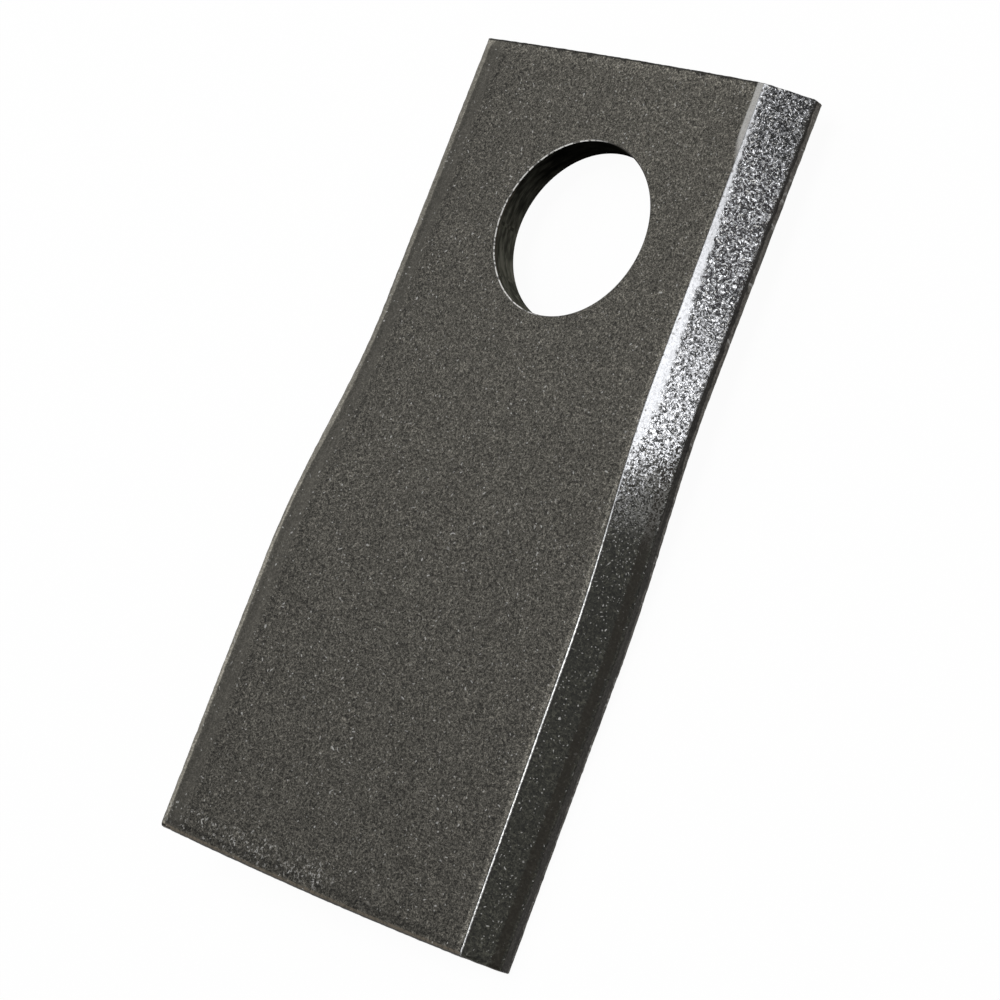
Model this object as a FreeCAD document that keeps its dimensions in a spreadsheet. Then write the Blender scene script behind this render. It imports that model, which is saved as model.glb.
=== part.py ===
import FreeCAD, Part
import Sketcher
import math
import os

# A rotary mower blade: one flat steel bar with a pivot bore near one end, ground to a bevel along
# both long edges and twisted between the bore and the free end.
#
# Frame: the origin is in the middle of the pivot bore, halfway through the blade. +Z is the bore
# axis and leaves the upper face, +Y points from the bore to the near end, and +X points to the
# long edge that is bevelled on the upper face. Lengths are in millimetres, angles in degrees.

SIZES = [
    ("blade_length", 103.0, "long edge, from the bore end to the free end"),
    ("blade_width", 48.0, "across the two long edges"),
    ("blade_thickness", 4.0, "bar stock"),
    ("corner_break", 0.35, "flat that breaks the long corners of the bar, on each face"),
    ("bore_diameter", 21.7, "pivot bore"),
    ("bore_to_end", 21.0, "bore axis to the corners of the bore end"),
    ("bore_offset", 0.7, "middle of the blade beside the bore axis"),
    ("bore_edge_break", 0.15, "chamfer on both rims of the bore"),
    ("bore_end_crown", 0.3, "rise of the slightly rounded bore end"),
    ("free_end_crown", 0.4, "rise of the slightly rounded free end"),
    ("end_edge_break", 0.25, "chamfer along the edges of both end faces"),
    ("bore_end_bevel", 5.5, "width of the bevel at the bore end"),
    ("free_end_bevel", 4.3, "width of the bevel at the free end"),
    ("bore_end_land", 1.4, "blunt edge left under the bevel at the bore end"),
    ("free_end_land", 2.1, "blunt edge left under the bevel at the free end"),
    ("shoulder_width", 0.9, "narrow flat beside the bevel"),
    ("shoulder_drop", 0.08, "fall of that narrow flat towards the bevel"),
    ("twist_start", 15.0, "bore axis to the start of the twist"),
    ("twist_length", 32.5, "stretch that takes the main twist"),
    ("twist_angle", 8.4, "main twist, which lowers the edge at +X"),
    ("tail_twist", 1.0, "further slow twist from there to the free end"),
    ("twist_axis_offset", 4.2, "axis of the twist beside the bore axis"),
    ("tail_droop", 0.65, "fall of the free end below the bore end"),
]

# The main twist is drawn through this many equal steps, and the tail beyond it through these.
TWIST_STEPS = 8
TAIL_STEPS = 3

doc = FreeCAD.newDocument("mower_blade")

sheet = doc.addObject("Spreadsheet::Sheet", "sizes")
for row, (alias, amount, note) in enumerate(SIZES, start=1):
    sheet.set(f"A{row}", note)
    sheet.set(f"B{row}", str(amount))
    sheet.setAlias(f"B{row}", alias)
doc.recompute()

blade = doc.addObject("PartDesign::Body", "blade")
blade.Label = "blade"

# Distances from the bore axis towards the free end. The raw bar runs a little past both ends,
# and the crowned ends are cut from it.
BORE_END = "(-sizes.bore_to_end)"
FREE_END = "(sizes.blade_length - sizes.bore_to_end)"
RAW_BORE_END = f"({BORE_END} - 2 * sizes.bore_end_crown)"
RAW_FREE_END = f"({FREE_END} + 2 * sizes.free_end_crown)"
TWIST_END = "(sizes.twist_start + sizes.twist_length)"

# Middle of the bar in a section's sketch, whose own origin is on the axis of the twist.
SECTION_MIDDLE = "(sizes.bore_offset - sizes.twist_axis_offset)"

# The broad strip of the face ends this far from the blunt edge, beyond the widest bevel.
BROAD_FACE = "(max(sizes.bore_end_bevel; sizes.free_end_bevel) + 2 * sizes.shoulder_width)"

# Points of an element of a sketch, and the sketch's own origin.
START, END, CENTRE = range(1, 4)
ORIGIN = (-1, 1)

# Two places closer together than this are the same place.
TOLERANCE = 0.01

# Elements of half a section, anticlockwise from the blunt edge. The face is drawn in two: a margin
# that narrows and widens with the bevel, and a broad strip of one width, which stays a true plane.
LAND, BEVEL, SHOULDER, MARGIN, FACE, CORNER = range(6)
HALF = 6


def size(alias):
    """Present value of one driving size."""
    return float(sheet.get(alias))


def new_sketch(name, role):
    """An empty sketch on one of the blade's own origin planes."""
    sketch = blade.newObject("Sketcher::SketchObject", name)
    origin_plane = next(item for item in blade.Origin.OriginFeatures if item.Role == role)
    sketch.AttachmentSupport = [(origin_plane, "")]
    sketch.MapMode = "FlatFace"
    return sketch


def drawn_size(sketch, kind, places):
    """A dimension as it is drawn: a radius, or the step from one point to another."""
    if kind == "Radius":
        return sketch.Geometry[places[0]].Radius
    step = sketch.getPoint(*places[2:]) - sketch.getPoint(*places[:2])
    return step.x if kind == "DistanceX" else step.y


def dimension(sketch, name, kind, places, expression):
    """Add a named dimension with its drawn size, then tie it to the sheet."""
    constraint = Sketcher.Constraint(kind, *places, drawn_size(sketch, kind, places))
    number = sketch.addConstraint(constraint)
    sketch.renameConstraint(number, name)
    sketch.setExpression(f"Constraints.{name}", expression)


def in_order(first, second, forward):
    """Two points as a dimension takes them, with the step from the first to the second positive."""
    return first + second if forward else second + first


def draw_half(sketch, turn):
    """Draw half a section: blunt edge, bevel, shoulder, face and the far corner of the bar.

    The other half is the same form, turned by half a turn about the middle of the bar.
    """
    half_width = size("blade_width") / 2
    half_thick = size("blade_thickness") / 2
    middle = FreeCAD.Vector(size("bore_offset") - size("twist_axis_offset"), 0, 0)

    def place(across, up):
        return middle + FreeCAD.Vector(across, up, 0) * turn

    corner_break = size("corner_break")
    crease_at = half_width - size("bore_end_bevel")
    points = [
        place(half_width, corner_break - half_thick),
        place(half_width, size("bore_end_land") - half_thick),
        place(crease_at, half_thick - size("shoulder_drop")),
        place(crease_at - size("shoulder_width"), half_thick),
        place(crease_at - 2 * size("shoulder_width"), half_thick),
        place(corner_break - half_width, half_thick),
        place(-half_width, half_thick - corner_break),
    ]
    sketch.addGeometry([Part.LineSegment(*ends) for ends in zip(points, points[1:])], False)


def tapered(form, along):
    """A size of the bevel at a distance along the blade, between its values at the two ends."""
    share = f"({along} - {BORE_END}) / sizes.blade_length"
    return f"sizes.bore_end_{form} + (sizes.free_end_{form} - sizes.bore_end_{form}) * {share}"


def section(name, along, angle):
    """Section of the bar, square to its length, at a distance along it and turned by an angle."""
    sketch = new_sketch(name, "XZ_Plane")
    for turn in (1, -1):
        draw_half(sketch, turn)
    outline = list(range(2 * HALF))
    for before, after in zip(outline, outline[1:] + outline[:1]):
        sketch.addConstraint(Sketcher.Constraint("Coincident", before, END, after, START))

    # The lower half is turned round, so its points come in the opposite order.
    for half, upper in enumerate((True, False)):
        here = half * HALF
        there = HALF - here
        where = "upper" if upper else "lower"

        def ordered(first, second):
            return in_order(first, second, upper)

        sketch.addConstraint(Sketcher.Constraint("Vertical", here + LAND))
        sketch.addConstraint(Sketcher.Constraint("Horizontal", here + MARGIN))
        sketch.addConstraint(Sketcher.Constraint("Horizontal", here + FACE))

        foot = (here + LAND, START)
        edge_top = (here + LAND, END)
        crease = (here + BEVEL, END)
        shoulder = (here + SHOULDER, END)
        face = (here + FACE, START)
        corner = (here + CORNER, START)
        other_foot = (there + LAND, START)
        other_face = (there + FACE, START)
        side = f"sizes.blade_width / 2 {'+' if upper else '-'} {SECTION_MIDDLE}"
        dimension(sketch, f"{where}_side", "DistanceX", ordered(ORIGIN, edge_top), side)
        dimension(sketch, f"{where}_face", "DistanceY", ordered(ORIGIN, face), "sizes.blade_thickness / 2")
        dimension(sketch, f"{where}_land", "DistanceY", ordered(other_face, edge_top), tapered("land", along))
        dimension(sketch, f"{where}_bevel", "DistanceX", ordered(crease, edge_top), tapered("bevel", along))
        dimension(sketch, f"{where}_margin", "DistanceX", ordered(face, edge_top), BROAD_FACE)
        dimension(sketch, f"{where}_shoulder", "DistanceX", ordered(shoulder, crease), "sizes.shoulder_width")
        dimension(sketch, f"{where}_drop", "DistanceY", ordered(crease, shoulder), "sizes.shoulder_drop")
        dimension(sketch, f"{where}_corner", "DistanceX", ordered(other_foot, corner), "sizes.corner_break")
        dimension(sketch, f"{where}_foot", "DistanceY", ordered(other_face, foot), "sizes.corner_break")

    droop_share = f"max(0; {along} - sizes.twist_start) / ({FREE_END} - sizes.twist_start)"
    sketch.setExpression("AttachmentOffset.Base.x", "sizes.twist_axis_offset")
    sketch.setExpression("AttachmentOffset.Base.y", f"-sizes.tail_droop * pow({droop_share}; 2)")
    sketch.setExpression("AttachmentOffset.Base.z", along)
    sketch.setExpression("AttachmentOffset.Rotation.Angle", f"-({angle})")
    return sketch


def loft(name, sections, ruled):
    """Solid through sections that follow one another along the bar."""
    feature = blade.newObject("PartDesign::AdditiveLoft", name)
    feature.Profile = sections[0]
    feature.Sections = sections[1:]
    feature.Ruled = ruled
    doc.recompute()


# The flat end that carries the bore.
flat_start = section("raw_bore_end", RAW_BORE_END, "0")
flat_finish = section("twist_begins", "sizes.twist_start", "0")
loft("flat_end", [flat_start, flat_finish], True)

# The twist eases in and out, and the tail turns slowly on to the free end.
stations = [flat_finish]
for step in range(1, TWIST_STEPS + 1):
    share = step / TWIST_STEPS
    eased = share * share * (3 - 2 * share)
    along = f"(sizes.twist_start + sizes.twist_length * {share})"
    stations.append(section(f"twist_{step}", along, f"sizes.twist_angle * {eased}"))
for step in range(1, TAIL_STEPS + 1):
    share = step / TAIL_STEPS
    along = f"({TWIST_END} + ({RAW_FREE_END} - {TWIST_END}) * {share})"
    angle = f"sizes.twist_angle + sizes.tail_twist * {share}"
    stations.append(section(f"tail_{step}", along, angle))
loft("twisted_end", stations, False)


def cut_through(name, outline):
    """Remove an outline from the blade right through, both ways from its middle plane."""
    uncut = blade.Shape.Volume
    feature = blade.newObject("PartDesign::Pocket", name)
    feature.Profile = outline
    feature.Type = "ThroughAll"
    feature.SideType = "Symmetric"
    doc.recompute()
    removed = uncut - feature.Shape.Volume
    if not 0 < removed < uncut / 2:
        raise RuntimeError(f"{name} removed {removed} cubic millimetres")


def edge_names(shape, wanted):
    """Names of the edges of a shape that pass a test."""
    return [f"Edge{number}" for number, edge in enumerate(shape.Edges, start=1) if wanted(edge)]


def chamfer(name, edges, expression):
    """Break some edges of the blade by a size of the sheet."""
    base = blade.Tip
    feature = blade.newObject("PartDesign::Chamfer", name)
    feature.Base = (base, edges)
    feature.setExpression("Size", expression)
    doc.recompute()


def crowned_end(name, outward, crown):
    """Trim an end of the bar along a slight arc, seen from above, that passes through both corners.

    outward is 1 for the end at +Y and -1 for the end at -Y. The outline is drawn for the end at +Y, and
    is turned by half a turn for the other. It reaches past the raw bar on every side.
    """
    half_width = size("blade_width") / 2
    rise = size(crown)
    radius = (half_width**2 + rise**2) / (2 * rise)
    reach = half_width + size("blade_thickness")
    if outward > 0:
        corners, corners_at = size("bore_to_end"), "sizes.bore_to_end"
    else:
        corners, corners_at = size("blade_length") - size("bore_to_end"), FREE_END
    outside = corners + 3 * rise
    arc_end = corners + rise - radius + math.sqrt(radius**2 - reach**2)

    def place(across, along):
        return FreeCAD.Vector(size("bore_offset") + across * outward, along * outward, 0)

    def ordered(first, second):
        return in_order(first, second, outward > 0)

    right = place(reach, arc_end)
    left = place(-reach, arc_end)
    right_outside = place(reach, outside)
    left_outside = place(-reach, outside)
    sketch = new_sketch(f"{name}_outline", "XY_Plane")
    arc, left_side, far_side, right_side = sketch.addGeometry(
        [
            Part.Arc(right, place(0, corners + rise), left),
            Part.LineSegment(left, left_outside),
            Part.LineSegment(left_outside, right_outside),
            Part.LineSegment(right_outside, right),
        ],
        False,
    )
    loop = [arc, left_side, far_side, right_side]
    for before, after in zip(loop, loop[1:] + loop[:1]):
        sketch.addConstraint(Sketcher.Constraint("Coincident", before, END, after, START))
    sketch.addConstraint(Sketcher.Constraint("Vertical", left_side))
    sketch.addConstraint(Sketcher.Constraint("Vertical", right_side))
    sketch.addConstraint(Sketcher.Constraint("Horizontal", far_side))
    sketch.addConstraint(Sketcher.Constraint("Horizontal", arc, START, arc, END))

    arc_radius = f"(pow(sizes.blade_width / 2; 2) + pow(sizes.{crown}; 2)) / (2 * sizes.{crown})"
    centre = (arc, CENTRE)
    dimension(sketch, "arc", "Radius", (arc,), arc_radius)
    dimension(sketch, "middle", "DistanceX", ORIGIN + centre, "sizes.bore_offset")
    centre_at = f"{arc_radius} - sizes.{crown} - {corners_at}"
    dimension(sketch, "arc_centre", "DistanceY", ordered(centre, ORIGIN), centre_at)
    width = "sizes.blade_width + 2 * sizes.blade_thickness"
    dimension(sketch, "width", "DistanceX", ordered((arc, END), (arc, START)), width)
    outside_at = f"{corners_at} + 3 * sizes.{crown}"
    dimension(sketch, "outside", "DistanceY", ordered(ORIGIN, (far_side, START)), outside_at)
    cut_through(name, sketch)

    def on_end_face(edge):
        return outward * edge.CenterOfMass.y > corners - TOLERANCE

    edges = edge_names(blade.Shape, on_end_face)
    chamfer(f"{name}_edges", edges, "sizes.end_edge_break")


crowned_end("bore_end", 1, "bore_end_crown")
crowned_end("free_end", -1, "free_end_crown")

# The pivot bore, whose axis is the blade's own Z axis, with a light chamfer on both rims.
bore_outline = new_sketch("bore_outline", "XY_Plane")
bore_circle = Part.Circle(FreeCAD.Vector(), FreeCAD.Vector(0, 0, 1), size("bore_diameter") / 2)
bore_outline.addGeometry(bore_circle, False)
bore_outline.addConstraint(Sketcher.Constraint("Coincident", 0, CENTRE, *ORIGIN))
dimension(bore_outline, "bore", "Radius", (0,), "sizes.bore_diameter / 2")
cut_through("pivot_bore", bore_outline)


def on_bore_rim(edge):
    """Whether an edge is one of the two circles where the bore meets a face."""
    if edge.Curve.TypeId != "Part::GeomCircle":
        return False
    beside_axis = math.hypot(edge.Curve.Center.x, edge.Curve.Center.y)
    return beside_axis < TOLERANCE and abs(edge.Curve.Radius - size("bore_diameter") / 2) < TOLERANCE


rims = edge_names(blade.Shape, on_bore_rim)
chamfer("bore_rims", rims, "sizes.bore_edge_break")

# Nothing is written unless every feature worked and the blade is one sound solid of its stated size.
doc.recompute()
for item in doc.Objects:
    if {"Invalid", "Error"} & set(item.State):
        raise RuntimeError(f"{item.Name} failed: {item.State}")
    if item.TypeId == "Sketcher::SketchObject" and not item.FullyConstrained:
        raise RuntimeError(f"{item.Name} is not fully constrained")
if blade.Shape.isNull() or not blade.Shape.isValid() or len(blade.Shape.Solids) != 1:
    raise RuntimeError("the blade is not one valid solid")
extent = blade.Shape.optimalBoundingBox().YLength
stated = size("blade_length") + size("bore_end_crown") + size("free_end_crown")
if abs(extent - stated) > TOLERANCE:
    raise RuntimeError(f"the blade is {extent} mm long and not {stated} mm")

os.makedirs("parts", exist_ok=True)
blade.Shape.exportStep(f"parts/{blade.Label}.step")
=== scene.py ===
"""Dresses the rotary mower blade as in its photograph: worn dark steel with a bright ground bevel.

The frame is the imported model's: metres, the origin in the middle of the pivot bore, +Z the bore's axis
and the upper face, +Y the bore end, +X the long edge that is bevelled on the upper face.
"""

import math

import bmesh
import bpy
from bpy.props import FloatProperty, FloatVectorProperty, PointerProperty
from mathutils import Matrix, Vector


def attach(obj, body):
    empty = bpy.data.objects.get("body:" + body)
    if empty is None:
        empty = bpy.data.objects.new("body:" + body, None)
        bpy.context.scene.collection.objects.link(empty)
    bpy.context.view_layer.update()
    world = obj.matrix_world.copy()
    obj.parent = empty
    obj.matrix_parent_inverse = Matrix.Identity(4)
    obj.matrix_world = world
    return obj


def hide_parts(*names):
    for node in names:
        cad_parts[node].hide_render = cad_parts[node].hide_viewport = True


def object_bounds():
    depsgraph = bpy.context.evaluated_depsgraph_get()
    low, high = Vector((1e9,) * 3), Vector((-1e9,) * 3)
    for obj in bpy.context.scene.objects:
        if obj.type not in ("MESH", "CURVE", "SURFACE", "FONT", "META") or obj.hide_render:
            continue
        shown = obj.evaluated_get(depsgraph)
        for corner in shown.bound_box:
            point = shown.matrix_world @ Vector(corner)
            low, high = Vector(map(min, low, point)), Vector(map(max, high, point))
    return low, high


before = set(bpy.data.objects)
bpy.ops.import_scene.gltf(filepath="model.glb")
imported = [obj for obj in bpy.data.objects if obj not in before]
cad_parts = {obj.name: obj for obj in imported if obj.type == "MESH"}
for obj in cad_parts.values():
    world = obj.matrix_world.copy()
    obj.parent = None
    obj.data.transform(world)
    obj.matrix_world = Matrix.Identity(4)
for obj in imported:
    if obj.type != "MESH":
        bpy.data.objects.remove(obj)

bl_info = {
    "name": "Rotary Mower Blade",
    "version": (1, 0, 0),
    "blender": (4, 5, 0),
    "location": "View3D > Sidebar > Mower Blade",
    "description": "Models a twisted rotary mower blade and its studio stage",
    "category": "Add Mesh",
}

MM = 0.001
CAD_LOW, CAD_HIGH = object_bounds()
NODE = "blade"
PIECE = "dressed_blade"
BAR_PLACE = "bar_place"

# Material slots of the piece, in order.
FACE, BEVEL, LAND, END, BORE = range(5)

# The bar is cut into rings along its length in two goes, which come out just under RING_STEP apart, and
# more finely within a short way of both ends, where it is also cut into columns.
LENGTH_CUTS = (12, 19)
RING_STEP = 0.4 * MM
END_ZONE = 0.8 * MM
END_CUTS = 3
COLUMN_STEP = 0.35 * MM
CROWN_ZONE = END_ZONE + RING_STEP / 2
BORE_SIDES = 160
RIM_SEGMENTS = 3
SMOOTH_ANGLE = math.radians(35)

# How far apart two lengths may be that stand for one line, one ring of points or the rim of the bore.
SLACK = 0.01 * MM
LINE_SLACK = 0.1 * MM
RING_SLACK = 0.002 * MM
RIM_SLACK = 0.02 * MM
CUT_SLACK = 0.0001 * MM
RING_DIGITS = 3

# Shares of a face's normal that tell its kind: at least this much up on a flat face, between two shares
# sideways on a bevel, at least this much sideways on a blunt edge and endways on a sheared end, and at most
# this much up on an upright wall.
FLAT = 0.999
BEVEL_SLOPE = (0.2, 0.9)
BLUNT = 0.92
SHEARED = 0.7
UPRIGHT = 0.5

# Faces smaller than this are left as they are when the flat end is cleared for the bore.
SMALL_FACE = 4 * MM * MM

# The bevel's finish begins this many roundings of the crease before the crease itself.
CREASE_REACH = 1.3

# The nicks: how far they reach in from the long corners, how far apart they are, how finely they are broken
# up, the level of their pattern that moves nothing, and how far the pattern swings beside it.
WORN_REACH = 0.7 * MM
NICK_SPACING = 0.7 * MM
NICK_DETAIL = 3
NICK_LEVEL = 0.52
NICK_SWING = 0.25

# The floor, in metres, with the steps of its curved rim and how much it grows and rises in each at most.
FLOOR_SIDES = 96
FLOOR_RADIUS = 1.5
FLOOR_STEPS = 8
FLOOR_GROWTH = 0.12
FLOOR_RISE = 0.15
FLOOR_ROUGHNESS = 0.9

# Place of each lamp in metres, its turn in degrees from facing straight down, and its size in metres.
LAMPS = {
    "overhead": ((0.025, 0.04, 0.6), (0, 0, 25.6), (0.28, 0.39)),
    "side": ((-0.55, 0.1, 0.55), (0, -45, -10), (0.5, 0.5)),
}

# Width of the camera's sensor in millimetres, and the nearest and farthest that it sees, in metres.
SENSOR_WIDTH = 36
NEAREST = 0.01
FARTHEST = 20


def length(name, description, millimetres):
    """A property that holds a length, whose default is given in millimetres."""
    return FloatProperty(name=name, description=description, default=millimetres * MM, precision=5,
                         unit="LENGTH")


def angle(name, description, degrees):
    """A property that holds an angle, whose default is given in degrees."""
    return FloatProperty(name=name, description=description, default=math.radians(degrees), subtype="ANGLE")


def power(name, description, watts):
    """A property that holds the power of a lamp."""
    return FloatProperty(name=name, description=description, default=watts, unit="POWER")


def share(name, description, default):
    """A property between 0 and 1."""
    return FloatProperty(name=name, description=description, default=default, min=0, max=1, subtype="FACTOR")


def colour(name, description, default):
    """A property that holds a colour."""
    return FloatVectorProperty(name=name, description=description, default=default, size=3, min=0, max=1,
                               subtype="COLOR")


class BladeSizes(bpy.types.PropertyGroup):
    """Sizes of the blade. All but the wear of the crease are those of its construction."""

    long_edge: length("Length", "Long edge, from the bore end to the free end", 103)
    width: length("Width", "Across the two long edges", 48)
    thickness: length("Thickness", "Bar stock", 4)
    bore_diameter: length("Bore", "Pivot bore", 21.7)
    bore_to_end: length("Bore to End", "Bore axis to the corners of the bore end", 21)
    bore_offset: length("Bore Offset", "Middle of the blade beside the bore axis", 0.7)
    bore_end_bevel: length("Bevel at Bore End", "Width of the bevel at the bore end", 5.5)
    free_end_bevel: length("Bevel at Free End", "Width of the bevel at the free end", 4.3)
    bore_end_land: length("Land at Bore End", "Blunt edge under the bevel at the bore end", 1.4)
    free_end_land: length("Land at Free End", "Blunt edge under the bevel at the free end", 2.1)
    shoulder_width: length("Shoulder Width", "Narrow strip of the face beside the bevel", 0.9)
    shoulder_drop: length("Shoulder Drop", "Fall of that strip towards the bevel", 0.08)
    bore_end_crown: length("Bore End Crown", "Rise of the rounded bore end", 0.3)
    free_end_crown: length("Free End Crown", "Rise of the rounded free end", 0.4)
    twist_start: length("Twist Start", "Bore axis to the start of the twist", 15)
    twist_length: length("Twist Length", "Stretch that takes the main twist", 32.5)
    twist_angle: angle("Twist", "Main twist, which lowers the edge at +X", 8.4)
    tail_twist: angle("Tail Twist", "Further slow twist on to the free end", 1.0)
    twist_axis: length("Twist Axis", "Axis of the twist beside the bore axis", 4.2)
    tail_droop: length("Tail Droop", "Fall of the free end below the bore end", 0.65)
    crease_wear: length("Crease Wear", "How far wear has carried the crease into the face", 0.2)


class EdgeSizes(bpy.types.PropertyGroup):
    """Sizes of the rounded and worn edges."""

    corner_round: length("Corner Rounding", "Rounding of the long corners of the bar", 0.12)
    land_round: length("Land Rounding", "Rounding between the bevel and the land", 0.12)
    crease_round: length("Crease Rounding", "Rounding between the shoulder and the bevel", 0.11)
    rolled_strip: length("Rolled Strip", "Width of the flatter strip of the bevel beside the crease", 0.75)
    rolled_fall: angle("Rolled Strip Fall", "Slope of that strip below the face", 21.5)
    rolled_round: length("Rolled Strip Rounding", "Rounding of the outer side of that strip", 0.5)
    bore_end_round: length("Bore End Rounding", "Rounding of the edges of the bore end", 0.1)
    free_end_round: length("Free End Rounding", "Rolled upper edge of the free end", 0.6)
    rim_round: length("Bore Rim Rounding", "Rounding of both rims of the bore", 0.15)
    nick_depth: length("Nick Depth", "Depth of the nicks in the worn edges", 0.03)


class BladeFinish(bpy.types.PropertyGroup):
    """Colours and finish of the blade."""

    face_colour: colour("Face", "Matte scale on the two faces", (0.073, 0.069, 0.059))
    bevel_colour: colour("Bevel", "Bright ground metal of the bevels", (0.189, 0.192, 0.200))
    land_colour: colour("Land", "Dark blunt edges", (0.04, 0.037, 0.033))
    brown_colour: colour("Bevel Stain", "Brown stain beside the blunt edges", (0.012, 0.0088, 0.0043))
    bore_colour: colour("Bore", "Dark wall of the bore", (0.039, 0.0385, 0.031))
    scale_colour: colour("Bevel Scale", "Dark scale on the free end of the bevels", (0.0212, 0.0211, 0.0165))
    # This colour is both the bare metal of specks and nicks and the painted highlights on the shoulder, the
    # rim of the bore and the crease.
    bare_metal_and_highlight_colour: colour("Worn Edge", "Bare metal on the worn edges", (0.42, 0.415, 0.4))
    stain_colour: colour("Stain", "Brown stain on the edges", (0.15, 0.128, 0.1))
    face_roughness: share("Face Roughness", "Roughness of the matte scale", 0.55)
    bevel_roughness: share("Bevel Roughness", "Roughness of the ground metal", 0.2)


class StageSettings(bpy.types.PropertyGroup):
    """The floor, the light and the camera."""

    floor_colour: colour("Floor", "Colour of the floor", (0.93, 0.93, 0.93))
    floor_glow: share("Floor Glow", "How much of the floor's own white is seen", 0.96)
    surround: share("Surround", "Level of the light from all round", 0.25)
    overhead_power: power("Overhead Lamp", "Power of the lamp overhead", 2.2)
    side_power: power("Side Lamp", "Power of the lamp at the side", 1.6)
    lens: FloatProperty(name="Lens", description="Focal length of the camera", default=101.85, unit="CAMERA")
    camera_place: FloatVectorProperty(name="Camera", description="Place of the camera", precision=5,
                                      default=(0.211292, -0.059535, 0.248781), subtype="TRANSLATION")
    camera_turn: FloatVectorProperty(name="Camera Turn", description="Turn of the camera",
                                     default=[math.radians(turn) for turn in (20.818, 35.132, 26.08)],
                                     subtype="EULER")


def taper(sizes, form, along):
    """Size of the bevel or land at a distance along the blade from the bore axis, towards the free end."""
    start = getattr(sizes, f"bore_end_{form}")
    finish = getattr(sizes, f"free_end_{form}")
    return start + (finish - start) * (along + sizes.bore_to_end) / sizes.long_edge


def crease_at(sizes, along):
    """Distance of the worn crease, where the bevel begins, from the middle of the bar."""
    return sizes.width / 2 - taper(sizes, "bevel", along) - sizes.crease_wear


def twist_at(sizes, along):
    """How far the section is turned at a distance along the blade."""
    step = min(max((along - sizes.twist_start) / sizes.twist_length, 0), 1)
    twist_end = sizes.twist_start + sizes.twist_length
    tail = sizes.long_edge - sizes.bore_to_end - twist_end
    further = max(along - twist_end, 0) / tail
    return sizes.twist_angle * step * step * (3 - 2 * step) + sizes.tail_twist * further


def droop_at(sizes, along):
    """How far the section is below the bore end at a distance along the blade."""
    reach = sizes.long_edge - sizes.bore_to_end - sizes.twist_start
    return sizes.tail_droop * (max(along - sizes.twist_start, 0) / reach) ** 2


def end_rows(sizes):
    """Y of the free end and of the bore end."""
    return sizes.bore_to_end - sizes.long_edge, sizes.bore_to_end


def crown_at(sizes, place):
    """How much of a crown's rise a place has: all in the middle of the bar, none at its corners."""
    return 1 - ((place.x - sizes.bore_offset) / (sizes.width / 2)) ** 2


def straightened(sizes, place):
    """A place on the finished blade as it was on the straight bar, measured from the middle of the bar."""
    along = -place.y
    if along < CROWN_ZONE - sizes.bore_to_end:
        along += sizes.bore_end_crown * crown_at(sizes, place)
    elif along > sizes.long_edge - sizes.bore_to_end - CROWN_ZONE:
        along -= sizes.free_end_crown * crown_at(sizes, place)
    turn = -twist_at(sizes, along)
    across = place.x - sizes.twist_axis
    up = place.z + droop_at(sizes, along)
    return Vector((
        sizes.twist_axis + across * math.cos(turn) + up * math.sin(turn) - sizes.bore_offset,
        along,
        up * math.cos(turn) - across * math.sin(turn),
    ))


def only(item):
    """Make an object the one that is selected and active."""
    bpy.ops.object.select_all(action="DESELECT")
    item.select_set(True)
    bpy.context.view_layer.objects.active = item


def select(item, kind, wanted):
    """In edit mode, select the vertices, edges or faces that pass a test, and nothing else.

    It is an error if none passes.
    """
    bpy.ops.mesh.select_mode(type=kind)
    bpy.ops.mesh.select_all(action="DESELECT")
    mesh = bmesh.from_edit_mesh(item.data)
    parts = {"VERT": mesh.verts, "EDGE": mesh.edges, "FACE": mesh.faces}[kind]
    found = [part for part in parts if wanted(part)]
    if not found:
        raise RuntimeError(f"nothing to select on {item.name}")
    for part in found:
        part.select_set(True)
    bmesh.update_edit_mesh(item.data)


def middle(edge):
    """Middle point of an edge."""
    return (edge.verts[0].co + edge.verts[1].co) / 2


def reach_of(edge):
    """How far an edge reaches along the blade."""
    return abs(edge.verts[0].co.y - edge.verts[1].co.y)


def near(first, second, slack=SLACK):
    """Whether two lengths are the same, but for some slack."""
    return abs(first - second) < slack


def settle(item, place):
    """In edit mode, move the nearest point of the mesh exactly to a place."""
    mesh = bmesh.from_edit_mesh(item.data)
    point = min(mesh.verts, key=lambda vert: (vert.co - place).length)
    step = place - point.co
    select(item, "VERT", lambda vert: vert == point)
    bpy.ops.transform.translate(value=step)


def cut(place, across, **how):
    """In edit mode, cut what is selected by the plane through a place, square to a direction."""
    bpy.ops.mesh.bisect(plane_co=place, plane_no=across.normalized(), threshold=CUT_SLACK, **how)


def bar_point(sizes, turn, across, along, up):
    """A place on the straight bar. turn is 1 for the upper half of the section and -1 for the lower."""
    return Vector((sizes.bore_offset + turn * across, -along, turn * up))


def cut_bar(sizes):
    """The bar as it is cut to length from stock, still square all over."""
    free_end = sizes.long_edge - sizes.bore_to_end
    centre = (sizes.bore_offset, (sizes.bore_to_end - free_end) / 2, 0)
    extent = (sizes.width, sizes.long_edge, sizes.thickness)
    bpy.ops.object.select_all(action="DESELECT")
    bpy.ops.mesh.primitive_cube_add(size=1, location=centre, scale=extent)
    blade = bpy.context.active_object
    blade.name = PIECE
    bpy.ops.object.transform_apply(location=True, rotation=True, scale=True)
    return blade


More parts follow.
